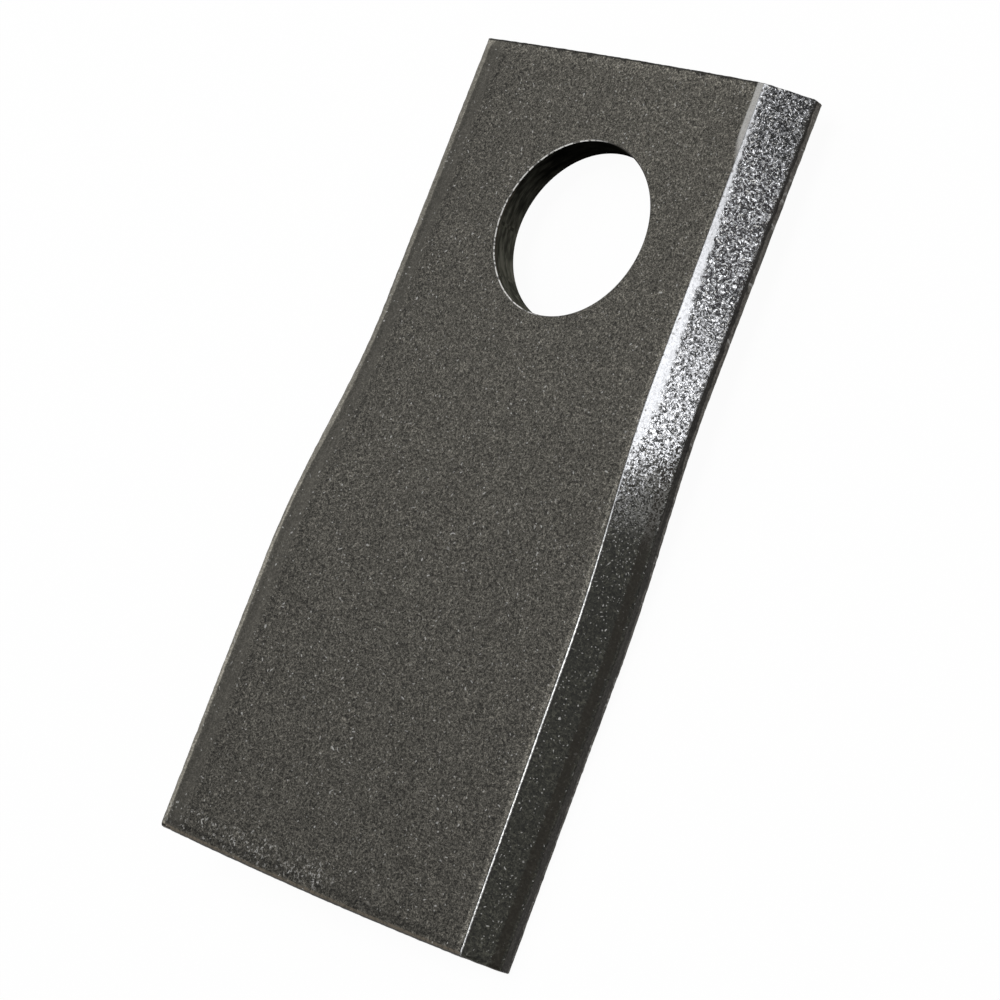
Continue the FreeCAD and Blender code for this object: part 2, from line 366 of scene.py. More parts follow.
def grind_bevel(blade, sizes, edges, turn):
    """Grind one long edge to its bevel, with the shoulder and the rolled strip beside the crease."""
    half_thick = sizes.thickness / 2
    ends = (-sizes.bore_to_end, sizes.long_edge - sizes.bore_to_end)
    crease_up = half_thick - sizes.shoulder_drop

    def crease(along, beside=0.0, fall=0.0):
        return bar_point(sizes, turn, crease_at(sizes, along) + beside, along, crease_up - fall)

    def edge_top(along):
        return bar_point(sizes, turn, sizes.width / 2, along, taper(sizes, "land", along) - half_thick)

    line = crease(ends[1]) - crease(ends[0])
    outward = line.cross(edge_top(ends[0]) - crease(ends[0]))
    if outward.x * turn < 0:
        outward.negate()
    bpy.ops.mesh.select_all(action="SELECT")
    cut(crease(ends[0]), outward, use_fill=True, clear_outer=True)
    settle(blade, edge_top(ends[1]))

    # The shoulder's inner line is scored on the face alone, and then the crease sinks to its depth.
    beside_line = Vector((line.y, -line.x, 0))
    select(blade, "FACE", lambda face: face.normal.z * turn > FLAT)
    cut(crease(ends[0], -sizes.shoulder_width), beside_line)
    for along in ends:
        settle(blade, crease(along))

    # The rolled strip beside the crease falls less than the rest of the bevel.
    gentle, steep = BEVEL_SLOPE
    select(blade, "FACE", lambda face: gentle < face.normal.x * turn < steep)
    cut(crease(ends[0], edges.rolled_strip), beside_line)
    fall = edges.rolled_strip * math.tan(edges.rolled_fall)
    for along in ends:
        settle(blade, crease(along, edges.rolled_strip, fall))


def round_long_edges(blade, sizes, edges, turn):
    """Round the long edges of one half of the section: its far corner, land, crease and rolled strip."""
    half_width = sizes.width / 2
    face_up = sizes.thickness / 2
    quarter = sizes.thickness / 4

    def on_line(edge, place, low, high):
        """Whether an edge is one of the long ones, at a place across the bar and between two levels."""
        if reach_of(edge) < sizes.width:
            return False
        point = middle(edge)
        across, up = turn * (point.x - sizes.bore_offset), turn * point.z
        return near(across, place, LINE_SLACK) and low < up < high

    halfway = sizes.long_edge / 2 - sizes.bore_to_end
    crease_across = crease_at(sizes, halfway)
    rolled_across = crease_across + edges.rolled_strip
    top = face_up + LINE_SLACK
    # Place across the bar, lowest and highest level, width and segments of each rounding.
    roundings = [
        (-half_width, face_up - LINE_SLACK, top, edges.corner_round, 4),
        (half_width, -quarter, quarter, edges.land_round, 3),
        (rolled_across, quarter, top, edges.rolled_round, 4),
        (crease_across, quarter, top, edges.crease_round, 4),
    ]
    for place, low, high, width, segments in roundings:
        select(blade, "EDGE", lambda edge: on_line(edge, place, low, high))
        bpy.ops.mesh.bevel(offset_type="OFFSET", offset=width, segments=segments, affect="EDGES")


def rings(blade):
    """The distinct places along the blade at which the mesh has points."""
    mesh = bmesh.from_edit_mesh(blade.data)
    return sorted({round(vert.co.y / MM, RING_DIGITS) * MM for vert in mesh.verts})


def divide_length(blade, sizes):
    """Divide the bar into short steps along its length, and finely near both ends."""
    shortest = sizes.width
    for cuts in LENGTH_CUTS:
        select(blade, "EDGE", lambda edge: reach_of(edge) > shortest)
        bpy.ops.mesh.subdivide(number_cuts=cuts)
        shortest /= cuts + 1
    low, high = end_rows(sizes)

    def in_end_zone(point):
        return min(point.y - low, high - point.y) < END_ZONE

    def along_zone(edge):
        """Whether an edge is one step long, runs along the blade and lies near an end."""
        one_step = reach_of(edge) > RING_STEP / 2 and edge.calc_length() < 1.5 * RING_STEP
        return one_step and in_end_zone(middle(edge))

    select(blade, "EDGE", along_zone)
    bpy.ops.mesh.subdivide(number_cuts=END_CUTS)

    columns = round(sizes.width / COLUMN_STEP)
    for column in range(1, columns):
        across = sizes.bore_offset + sizes.width * (column / columns - 0.5)
        select(blade, "FACE", lambda face: in_end_zone(face.calc_center_median())
               and any(v.co.x < across for v in face.verts) and any(v.co.x > across for v in face.verts))
        cut((across, 0, 0), Vector((1, 0, 0)))


def round_off(radius, distance):
    """How far a rounded edge has sunk at a distance from where it ends."""
    inside = min(max(radius - distance, 0), radius)
    return radius - math.sqrt(radius**2 - inside**2)


def round_ends(blade, sizes, edges):
    """Round the edges of both ends, most of all the upper edge of the free end, which the shear rolled."""
    low, high = end_rows(sizes)
    half_thick = sizes.thickness / 2
    for row in rings(blade):
        from_end = min(row - low, high - row)
        upper = edges.free_end_round if row < 0 else edges.bore_end_round
        lower = edges.bore_end_round
        if from_end > upper:
            continue
        select(blade, "VERT", lambda vert: near(vert.co.y, row, RING_SLACK))
        upper_fall = round_off(upper, from_end)
        lower_rise = round_off(lower, from_end)
        narrower = 1 - 2 * lower_rise / sizes.width
        bpy.ops.transform.resize(value=(narrower, 1, 1 - upper_fall / sizes.thickness),
                                 center_override=(sizes.bore_offset, row, -half_thick))
        bpy.ops.transform.resize(value=(1, 1, 1 - lower_rise / sizes.thickness),
                                 center_override=(sizes.bore_offset, row, half_thick))


def twist_bar(blade, sizes):
    """Turn and lower each ring of the bar beyond the flat end."""
    for row in rings(blade):
        if -row <= sizes.twist_start:
            continue
        select(blade, "VERT", lambda vert: near(vert.co.y, row, RING_SLACK))
        bpy.ops.transform.rotate(value=-twist_at(sizes, -row), orient_axis="Y",
                                 center_override=(sizes.twist_axis, row, 0))
        bpy.ops.transform.translate(value=(0, 0, -droop_at(sizes, -row)))


def weighted_group(blade, name, weight):
    """A group of the points of a mesh, whose weights come from a function of their place."""
    group = blade.vertex_groups.new(name=name)
    for vert in blade.data.vertices:
        amount = weight(vert.co)
        if amount > 0:
            group.add([vert.index], amount, "REPLACE")
    return group.name


def apply_modifier(item, kind, **settings):
    """Add a modifier to an object with some settings, and apply it."""
    only(item)
    modifier = item.modifiers.new(kind.lower(), kind)
    for name, value in settings.items():
        setattr(modifier, name, value)
    bpy.ops.object.modifier_apply(modifier=modifier.name)


def crown_ends(blade, sizes):
    """Round both ends a little, as seen from above."""
    low, high = end_rows(sizes)

    def bulge(point, end):
        return crown_at(sizes, point) if abs(point.y - end) <= CROWN_ZONE else 0

    ends = (("bore_end", high, sizes.bore_end_crown), ("free_end", low, -sizes.free_end_crown))
    for name, end, rise in ends:
        group = weighted_group(blade, name, lambda point: bulge(point, end))
        apply_modifier(blade, "DISPLACE", direction="Y", mid_level=0, strength=rise, vertex_group=group)


def wear_edges(blade, sizes, edges):
    """Small nicks and dents along the worn corners and the sheared ends."""
    half_width = sizes.width / 2

    def worn(point):
        there = straightened(sizes, point)
        from_end = min(there.y + sizes.bore_to_end, sizes.long_edge - sizes.bore_to_end - there.y)
        at_end = 1 - from_end / END_ZONE
        at_corner = 1 - (half_width - abs(there.x)) / WORN_REACH
        return min(max(at_end, at_corner, 0), 1)

    nicks = bpy.data.textures.new("nicks", "CLOUDS")
    nicks.noise_scale = NICK_SPACING
    nicks.noise_depth = NICK_DETAIL
    group = weighted_group(blade, "worn", worn)
    apply_modifier(blade, "DISPLACE", texture=nicks, texture_coords="LOCAL", mid_level=NICK_LEVEL,
                   strength=edges.nick_depth / NICK_SWING, vertex_group=group)


def bore_blade(blade, sizes, edges):
    """Drill the pivot bore and round both of its rims."""
    only(blade)
    bpy.ops.object.mode_set(mode="EDIT")
    radius = sizes.bore_diameter / 2

    def on_flat(face):
        near_bore = abs(face.calc_center_median().y) < sizes.twist_start
        return abs(face.normal.z) > FLAT and near_bore and face.calc_area() > SMALL_FACE

    for side in (1, -1):
        select(blade, "FACE", lambda face: on_flat(face) and face.normal.z * side > 0)
        bpy.ops.mesh.dissolve_faces()
    bpy.ops.object.mode_set(mode="OBJECT")

    bpy.ops.object.select_all(action="DESELECT")
    bpy.ops.mesh.primitive_cylinder_add(vertices=BORE_SIDES, radius=radius, depth=2 * sizes.thickness)
    drill = bpy.context.active_object
    apply_modifier(blade, "BOOLEAN", operation="DIFFERENCE", solver="EXACT", object=drill)
    bpy.data.objects.remove(drill)

    only(blade)
    bpy.ops.object.mode_set(mode="EDIT")

    def on_rim(edge):
        ends = [vert.co for vert in edge.verts]
        at_bore = all(near(math.hypot(end.x, end.y), radius, RIM_SLACK) for end in ends)
        return at_bore and near(ends[0].z, ends[1].z)

    select(blade, "EDGE", on_rim)
    bpy.ops.mesh.bevel(offset_type="OFFSET", offset=edges.rim_round, segments=RIM_SEGMENTS, affect="EDGES")
    bpy.ops.object.mode_set(mode="OBJECT")


def mark_regions(blade, sizes, edges):
    """Give each face of the mesh its material, and its place on the straight bar.

    The place is kept in metres in an attribute. It is measured from the middle of the bar, with X towards
    the bevelled edge of the half that the face belongs to and Z out of that half's face, and Y along the
    blade from the bore axis to the free end.
    """
    mesh = blade.data
    half_width = sizes.width / 2
    free_end = sizes.long_edge - sizes.bore_to_end
    places = [straightened(sizes, vert.co) for vert in mesh.vertices]
    kept = []
    for face in mesh.polygons:
        corners = [places[number] for number in face.vertices]
        centre = sum(corners, Vector()) / len(corners)
        turn = 1 if centre.z * half_width + centre.x * sizes.thickness / 2 > 0 else -1
        across = turn * centre.x
        beyond_crease = across - crease_at(sizes, centre.y)
        from_end = min(centre.y + sizes.bore_to_end, free_end - centre.y)
        at_bore = math.hypot(face.center.x, face.center.y) < sizes.bore_diameter / 2 + SLACK
        if at_bore and abs(face.normal.z) < UPRIGHT:
            region = BORE
        elif abs(face.normal.y) > SHEARED and from_end < END_ZONE:
            region = END
        elif turn * face.normal.x > BLUNT:
            region = LAND
        elif beyond_crease > -CREASE_REACH * edges.crease_round:
            region = BEVEL
        else:
            region = FACE
        face.material_index = region
        kept.extend((turn * corner.x, corner.y, turn * corner.z) for corner in corners)
    attribute = mesh.attributes.new(BAR_PLACE, "FLOAT_VECTOR", "CORNER")
    attribute.data.foreach_set("vector", [number for place in kept for number in place])


def set_input(tree, socket, value):
    """Link a socket to a field or to another socket, or set it to a plain value."""
    if isinstance(value, Field):
        value = value.socket
    if isinstance(value, bpy.types.NodeSocket):
        tree.links.new(value, socket)
    else:
        socket.default_value = value


def add_node(tree, kind, inputs=None, **settings):
    """Add a node with its settings and its inputs."""
    made = tree.nodes.new(kind)
    for name, value in settings.items():
        setattr(made, name, value)
    for name, value in (inputs or {}).items():
        set_input(tree, made.inputs[name], value)
    return made


def shade(values, factor=1.0):
    """A colour with its fourth channel, made darker or lighter by a factor."""
    return (*(value * factor for value in values), 1.0)


class Field:
    """A number that varies over a surface. Sums and products of fields add the nodes that work them out."""

    def __init__(self, tree, socket):
        self.tree = tree
        self.socket = socket

    def joined(self, operation, *others):
        """What an operation makes of this field and of other fields or plain numbers."""
        inputs = dict(enumerate((self, *others)))
        return Field(self.tree, add_node(self.tree, "ShaderNodeMath", inputs, operation=operation).outputs[0])

    def __add__(self, other):
        return self.joined("ADD", other)

    def __sub__(self, other):
        return self.joined("SUBTRACT", other)

    def __mul__(self, other):
        return self.joined("MULTIPLY", other)

    def at_least(self, other):
        """The greater of this field and another."""
        return self.joined("MAXIMUM", other)

    def toward(self, other, amount):
        """This field brought some way towards another, by an amount between 0 and 1."""
        return (self * -1 + other) * amount + self

    def ramp(self, start, finish, low=0.0, high=1.0, interpolation="SMOOTHSTEP"):
        """This field brought from one range to another, and held beyond its ends."""
        inputs = {"Value": self, "From Min": start, "From Max": finish, "To Min": low, "To Max": high}
        made = add_node(self.tree, "ShaderNodeMapRange", inputs, interpolation_type=interpolation)
        return Field(self.tree, made.outputs[0])

    def grade(self, start, finish, low, high):
        """As ramp, in a straight line."""
        return self.ramp(start, finish, low, high, "LINEAR")

    def between(self, low, high, soft):
        """1 where this field is between two limits, which are soft, and 0 elsewhere."""
        rise = self.ramp(low - soft / 2, low + soft / 2)
        return rise * self.ramp(high - soft / 2, high + soft / 2, 1.0, 0.0)

    def swing(self, amount, centre=0.5):
        """A factor that swings about 1 as this field swings about its centre."""
        return self * amount + (1 - amount * centre)


class Paint:
    """A new material, with the places and the patterns that its colour follows, in millimetres."""

    def __init__(self, name, sizes):
        self.material = bpy.data.materials.new(name)
        self.material.use_nodes = True
        self.tree = self.material.node_tree
        self.shader = next(node for node in self.tree.nodes if node.type == "BSDF_PRINCIPLED")
        place = add_node(self.tree, "ShaderNodeAttribute", attribute_name=BAR_PLACE).outputs["Vector"]
        own = add_node(self.tree, "ShaderNodeTexCoord").outputs["Object"]
        self.bar = self.stretched(place, (1 / MM, 1 / MM, 1 / MM))
        self.own = self.stretched(own, (1 / MM, 1 / MM, 1 / MM))
        self.x, y, _ = self.parts(self.own)
        across, self.along, self.up = self.parts(self.bar)

        half_width = sizes.width / 2 / MM
        bore_end = sizes.bore_to_end / MM
        free_end = sizes.long_edge / MM - bore_end
        slope = (crease_at(sizes, free_end * MM) - crease_at(sizes, 0)) / MM / free_end
        self.from_axis = (self.x * self.x + y * y).joined("SQRT")
        self.past_crease = across - (self.along * slope + crease_at(sizes, 0) / MM)
        self.from_corner = across + half_width
        self.from_edge = across * -1 + half_width
        self.from_bore_end = self.along + bore_end
        self.from_free_end = self.along * -1 + free_end

    def stretched(self, vector, stretch):
        """Coordinates multiplied by a factor along each axis."""
        return add_node(self.tree, "ShaderNodeMapping", {"Vector": vector, "Scale": stretch}).outputs[0]

    def parts(self, vector):
        """The three parts of a vector or colour, as fields."""
        made = add_node(self.tree, "ShaderNodeSeparateXYZ", {0: vector})
        return [Field(self.tree, output) for output in made.outputs]

    def noise(self, scale, detail, roughness, distortion=0.0, stretch=None):
        """A noise between 0 and 1, with so many cells in a millimetre, or stretched along the bar."""
        vector = self.stretched(self.bar, stretch) if stretch else self.own
        inputs = {"Vector": vector, "Scale": scale, "Detail": detail, "Roughness": roughness,
                  "Distortion": distortion}
        return Field(self.tree, add_node(self.tree, "ShaderNodeTexNoise", inputs).outputs["Fac"])

    def threads(self, scale, width, stretch=None):
        """Thin winding threads, 1 along their middle and 0 beside them."""
        field = self.noise(scale, 1.5, 0.5, 0.7, stretch)
        return (field - 0.5).joined("ABSOLUTE").ramp(0.0, width, 1.0, 0.0)

    def strokes(self, scale, turns):
        """Winding strokes between -1 and 1, the bands of a noise. More turns make more of them."""
        return (self.noise(scale, 1.5, 0.55) * turns).joined("SINE")

    def sparks(self, scale, radius, kept, stretch=(1, 1, 1)):
        """Sparse specks of uneven strength in some of the cells, of a radius given in cells."""
        inputs = {"Vector": self.bar, "Scale": 0.5}
        jumble = add_node(self.tree, "ShaderNodeTexNoise", inputs).outputs["Color"]
        inputs = {0: jumble, 1: (2, 2, 2), 2: self.stretched(self.bar, stretch)}
        shaken = add_node(self.tree, "ShaderNodeVectorMath", inputs, operation="MULTIPLY_ADD").outputs[0]
        inputs = {"Vector": shaken, "Scale": scale}
        cells = add_node(self.tree, "ShaderNodeTexVoronoi", inputs, voronoi_dimensions="2D").outputs
        lot, strength, _ = self.parts(cells["Color"])
        inside = Field(self.tree, cells["Distance"]).ramp(radius, radius / 2)
        return inside * lot.joined("LESS_THAN", kept) * strength.ramp(0, 1, 0.3, 1.0)

    def tinted(self, values, brightness):
        """A colour made lighter or darker from place to place."""
        inputs = {0: tuple(values), "Scale": brightness}
        return add_node(self.tree, "ShaderNodeVectorMath", inputs, operation="SCALE").outputs[0]

    def covered(self, base, amount, cover):
        """A colour that another covers by an amount between 0 and 1."""
        inputs = {0: amount, 6: base, 7: cover}
        return add_node(self.tree, "ShaderNodeMix", inputs, data_type="RGBA").outputs[2]

    def bump(self, height, depth):
        """Relief of a depth in millimetres."""
        inputs = {"Strength": 1.0, "Distance": depth * MM, "Height": height}
        return add_node(self.tree, "ShaderNodeBump", inputs).outputs[0]

    def finish(self, **inputs):
        """Set the inputs of the surface shader, named with underscores for spaces."""
        for name, value in inputs.items():
            set_input(self.tree, self.shader.inputs[name.replace("_", " ")], value)
        return self.material


def face_finish(sizes, finish):
    """Matte dark scale with a fine grain and sparse sparkles, with painted highlights along its edges and
    painted shade towards the free end.
    """
    paint = Paint("matte_scale", sizes)
    along = paint.along
    fine = paint.noise(5.5, 1, 0.7, 0.3)
    patches = paint.noise(2.6, 0, 0.5)
    coarse = paint.noise(0.3, 3, 0.6)
    ragged = paint.noise(1, 3, 0.6, stretch=(0.8, 0.5, 0.8))
    streaks = paint.noise(1, 2, 0.5, stretch=(3.0, 0.12, 3.0))

    # The grain is light and dark, with short winding strokes in patches.
    light_strokes = paint.threads(2.6, 0.05) * patches.ramp(0.42, 0.54, 0.1, 1.0)
    dark_strokes = paint.threads(2.6, 0.06, (1.2, 1, 1)) * patches.ramp(0.42, 0.54, 1.0, 0.1)
    grained = ((fine - 0.53) * 3.7).joined("EXPONENT") + light_strokes * 2.1 - dark_strokes * 1.1
    # It is weaker, with streaks, in a band inside the far corner of the bar.
    in_from_corner = paint.from_corner + ragged * 0.8
    band = in_from_corner.ramp(2.6, 3.8, 1.0, 0.0)
    grained = grained.at_least(0.25).toward(streaks.swing(0.9), band * 0.6)
    band_edge = in_from_corner.between(3.6, 4.3, 0.4) * -0.18 + 1
    band_inner = in_from_corner.between(1.2, 1.9, 0.3) * -0.15 + 1
    band_level = band * along.ramp(20, 45, 0.0, 0.15) + 1
    side_level = paint.x.grade(-18, 2, -0.14, 0.0) * along.grade(0, 30, 1.0, 0.0) + 1
    scratches = paint.threads(0.22, 0.0035, (1.3, 0.6, 1)) * coarse.ramp(0.5, 0.56)
    # The tone is darker towards the free end: painted shade for the face turning away from the light along
    # the twist.
    tone = grained * along.grade(-21, 82, 1.14, 0.79) * coarse.swing(0.3) * side_level
    tone = tone * band_edge * band_inner * band_level * (scratches * 0.6 + 1)

    # Strips along the edges: a painted reflection on the far corner and a painted highlight on the shoulder
    # beside the crease, with painted shade on the corner's very edge; a lighter strip at the bore end and a
    # darker band near the free end.
    corner_width = along.ramp(30, 42, 0.85, 0.6) + paint.from_bore_end.ramp(0.2, 1.2, 0.5, 0.0)
    beyond_corner = paint.from_corner + ragged * 0.3 - corner_width
    corner = beyond_corner.ramp(0.0, 0.2, 1.0, 0.0)
    corner_edge_shade = paint.from_corner.ramp(0.08, 0.2, 0.6, 1.0)
    shoulder = paint.past_crease.between(-0.75, -0.25, 0.3)
    tone = tone * (corner * along.ramp(20, 55, 0.5, 1.1) + 1) * (corner * streaks * 1.2 + 1) * corner_edge_shade
    tone = tone * (shoulder * along.ramp(-14, 50, 0.35, 1.0) + 1)
    tone = tone * (paint.from_bore_end + ragged * 1.2).ramp(1.4, 2.2, 1.28, 1.0)
    tone = tone * ((paint.from_free_end + ragged * 0.8).between(1.15, 1.65, 0.25) * -0.35 + 1)
    base = paint.tinted(finish.face_colour, tone)
    rolled = (paint.from_free_end + ragged * 0.3).ramp(0.6, 0.75, 0.85, 0.0)
    base = paint.covered(base, rolled * streaks.ramp(0.4, 0.55, 0.5, 1.0), shade(finish.stain_colour))
    blotches = paint.noise(1, 3, 0.7, stretch=(0.6, 0.3, 0.6)).ramp(0.46, 0.66, 0.2, 0.65)
    cut_line = (paint.from_bore_end - blotches).ramp(0.0, 0.08, 0.85, 0.0)
    base = paint.covered(base, cut_line, shade(finish.land_colour, 0.3))

    # Bare metal: specks, and glitter near the free end. Painted highlights: the shoulder near the bore end
    # and one side of the rim of the bore.
    speck = paint.sparks(1.5, 0.17, 0.18) * 0.9
    glitter = paint.threads(1.5, 0.045, (1.5, 0.8, 1)) * patches.ramp(0.52, 0.58)
    near_end = (paint.from_free_end + ragged * 1.5).between(1.6, 4.0, 0.8) * coarse.ramp(0.42, 0.5)
    lit = speck.at_least(glitter * near_end * paint.from_corner.ramp(34, 20))
    # Painted highlight on the shoulder beside the crease near the bore end.
    inner = along + ragged * 0.8 - paint.past_crease * 3
    bright = (paint.past_crease + ragged * 0.3).between(-0.72, 0.35, 0.2) * inner.ramp(-12.5, -10, 1.0, 0.0)
    bright = bright * fine.ramp(0.3, 0.6, 0.7, 1.0)
    bore_rim = sizes.bore_diameter / 2 / MM
    rim = paint.from_axis.ramp(bore_rim + 0.2, bore_rim + 0.1)
    lit_rim = rim * paint.x.ramp(-3, 2, 1.0, 0.0) * paint.noise(2.0, 1, 0.5).ramp(0.4, 0.5, 0.15, 1.0)
    base = paint.covered(base, rim, shade(finish.land_colour))
    base = paint.covered(base, lit.at_least(bright), shade(finish.bare_metal_and_highlight_colour))
    base = paint.covered(base, lit_rim, shade(finish.bare_metal_and_highlight_colour, 1.8))
    return paint.finish(Base_Color=base, Roughness=finish.face_roughness, Specular_IOR_Level=0.1,
                        Normal=paint.bump(fine, 0.01))


def bevel_finish(sizes, finish):
    """Ground metal with a wrinkled surface, smooth beside the crease and under dark scale at the free end."""
    paint = Paint("ground_bevel", sizes)
    along = paint.along
    past_crease = paint.past_crease
    ragged = paint.noise(1.6, 3, 0.6)
    pits = paint.noise(3.2, 1, 0.6)
    light_threads = paint.threads(2.1, 0.07)
    dark_threads = paint.threads(2.1, 0.07, (1.2, 1, 1))
    long_threads = paint.threads(1.5, 0.05, (1, 0.9, 1))
    near_edge = paint.from_edge + ragged * 0.8

    # The wrinkles are winding strokes, light and dark in turn. The metal is dull at the bore end and
    # brightest in its middle, where the strokes are thin and dark; that bright middle is partly a painted
    # highlight.
    middle_part = (along + ragged * 4.0).ramp(6, 17)
    strokes = paint.strokes(1.35, 26)
    dim = (strokes * 1.3 + light_threads * 1.4 - dark_threads * 1.2).joined("EXPONENT")
    dim = dim * pits.swing(1.5, 0.6) * 0.69
    clear = strokes.ramp(-1.0, -0.1, 0.2, 1.0) * pits.swing(0.9, 0.62) * 2.65
    clear = clear - dark_threads - long_threads * 1.6
    dull_strip = along.ramp(-14, -9, 0.4, 0.0) * past_crease.ramp(0.15, 0.4)
    level = along.ramp(-14, -9, 0.78, 0.58) + along.ramp(0, 12, 0.0, 0.25)
    wrinkled = dim.at_least(0.06) * level * (dull_strip * -1 + 1)
    wrinkled = wrinkled.toward(clear.at_least(0.12) * along.ramp(6, 16, 0.82, 1.1), middle_part)
    # A strip beside the crease is smooth. It widens along the blade as far as the dark scale.
    smooth_width = along.grade(-18, -9, 0.15, 0.5) + along.grade(-9, 14, 0.0, 0.75)
    smooth_width = smooth_width * along.ramp(16, 30, 1.0, 0.1)
    rough = (past_crease + ragged * 1.6 - smooth_width).ramp(0.6, 1.1)
    # The smooth strip is painted lighter towards the twist, partly a painted highlight.
    smooth = along.ramp(-10, 8, 1.25, 1.68) * pits.swing(0.4, 0.65) - dark_threads * 0.4
    base = paint.tinted(finish.bevel_colour, smooth.toward(wrinkled, rough))
    chips = paint.sparks(1.3, 0.26, 0.45) * (past_crease + ragged * 1.2).ramp(0.8, 1.1, 1.0, 0.0)
    base = paint.covered(base, chips, shade(finish.land_colour))
    # Painted shade: the bevel is darkened along its outer edge beside the land.
    base = paint.covered(base, near_edge.ramp(0.4, 0.9, 0.6, 0.0), shade(finish.land_colour))

    # Dark scale covers the free end of the bevel. It begins nearer to the bore away from the crease.
    bare_lines = light_threads.at_least(long_threads)
    reach = along + past_crease * 0.4 + ragged * 5.0 + pits * 3.0
    reach = reach + dark_threads * 2.0 - bare_lines * 4.0 - strokes * 1.8
    scale = reach.ramp(26.4, 28.6, 0.0, 0.5) + (past_crease * 0.8 + reach).ramp(28.6, 34.0, 0.0, 0.5)
    beside_line = past_crease.between(0.05, 0.3, 0.1) * -0.3 + 1
    flecks = light_threads * ragged.ramp(0.42, 0.58, 0.2, 1.0)
    mottled = (pits.swing(2.0) + flecks * 2.0 - dark_threads * 0.5) * along.grade(45, 80, 1.0, 1.3)
    scaly = paint.tinted(finish.scale_colour, mottled * beside_line)
    gaps = pits.ramp(0.3, 0.45, 0.4, 0.0) * scale
    base = paint.covered(base, gaps, shade(finish.land_colour))
    covering = scale * past_crease.ramp(-0.05, 0.08)
    base = paint.covered(base, covering, scaly)
    stained = near_edge.between(0.65, 1.7, 0.3) * scale * 0.75
    base = paint.covered(base, stained, shade(finish.brown_colour))
    speck = paint.sparks(2.6, 0.22, along.ramp(26, 46, 0.9, 0.2)) * rough * (stained * -1.2 + 1)
    lines = bare_lines * along.between(24, 31, 5) * rough * 0.3
    base = paint.covered(base, speck.at_least(lines), shade(finish.bare_metal_and_highlight_colour))
    # Painted highlight: a broken light line along the crease towards the free end.
    dashes = pits.ramp(0.42, 0.62, 0.25, 1.0) * along.ramp(26, 40)
    crease_highlight = past_crease.between(-0.07, 0.08, 0.05) * dashes
    base = paint.covered(base, crease_highlight, shade(finish.bare_metal_and_highlight_colour, 1.3))
    height = (light_threads - dark_threads * 0.8) * rough * (scale * -0.7 + 1)
    return paint.finish(Base_Color=base, Metallic=covering.ramp(0, 1, 0.45, 0.0), Specular_IOR_Level=0.2,
                        Roughness=covering.ramp(0, 1, finish.bevel_roughness, 0.5),
                        Normal=paint.bump(height, 0.012))


def land_finish(sizes, finish):
    """Dark blunt edges with streaks along them, painted brighter at their foot as a reflection, with nicks
    there.
    """
    paint = Paint("dark_land", sizes)
    ragged = paint.noise(0.8, 3, 0.6)
    fine = paint.noise(3.5, 1, 0.6)
    streaks = paint.noise(1, 3, 0.6, stretch=(2.5, 0.35, 2.5))
    # Painted reflection: the foot of each land is made lighter, and nicks of bare metal lie there.
    foot_height = paint.along.grade(0, 30, -1.1, -1.5)
    foot = (paint.up + ragged * 0.9 - foot_height).ramp(0.55, 0.4)
    level = paint.along.ramp(20, 40, 0.85, 1.1)
    tone = streaks.swing(2.0) * fine.swing(2.0) * level.toward(3.2, foot)
    base = paint.tinted(finish.land_colour, tone)
    nicks = paint.sparks(1.4, 0.3, 0.6) * foot * 0.8
    base = paint.covered(base, nicks, shade(finish.bare_metal_and_highlight_colour))
    return paint.finish(Base_Color=base, Roughness=0.5, Specular_IOR_Level=0.05)


def end_finish(sizes, finish):
    """Sheared ends, with fine streaks through the thickness, brown stain and a dark upper edge."""
    paint = Paint("sheared_end", sizes)
    streaks = paint.noise(1, 3, 0.6, stretch=(3, 1, 0.6)).ramp(0.35, 0.65)
    base = paint.covered(shade(finish.land_colour), streaks, shade(finish.stain_colour, 0.7))
    upper = paint.up.ramp(1.2, 1.5)
    base = paint.covered(base, upper * 0.8, shade(finish.land_colour, 0.6))
    return paint.finish(Base_Color=base, Roughness=0.55, Specular_IOR_Level=0.3)


def bore_finish(sizes, finish):
    """The dark wall of the bore, with fine streaks round it, and painted light that makes it lighter towards
    the free end and towards +X.
    """
    paint = Paint("bore_wall", sizes)
    streaks = paint.noise(1, 3, 0.6, stretch=(0.35, 0.35, 1.6))
    # Painted light: the wall is lighter towards the free end and towards +X.
    side = (paint.along + streaks * 6.0).ramp(-6, 12, 0.12, 2.8) + paint.x.ramp(1, 5, 0.0, 0.8)
    base = paint.tinted(finish.bore_colour, streaks.ramp(0.35, 0.7, 0.5, 1.5) * side)
    # A brown stain on the lower rim, kept to the side that the painted light brightens.
    lower_rim = paint.up.ramp(-1.7, -1.5, 0.7, 0.0) * side.ramp(0.2, 1.0)
    base = paint.covered(base, lower_rim, shade(finish.stain_colour, 0.5))
    return paint.finish(Base_Color=base, Roughness=0.5, Specular_IOR_Level=0.0)


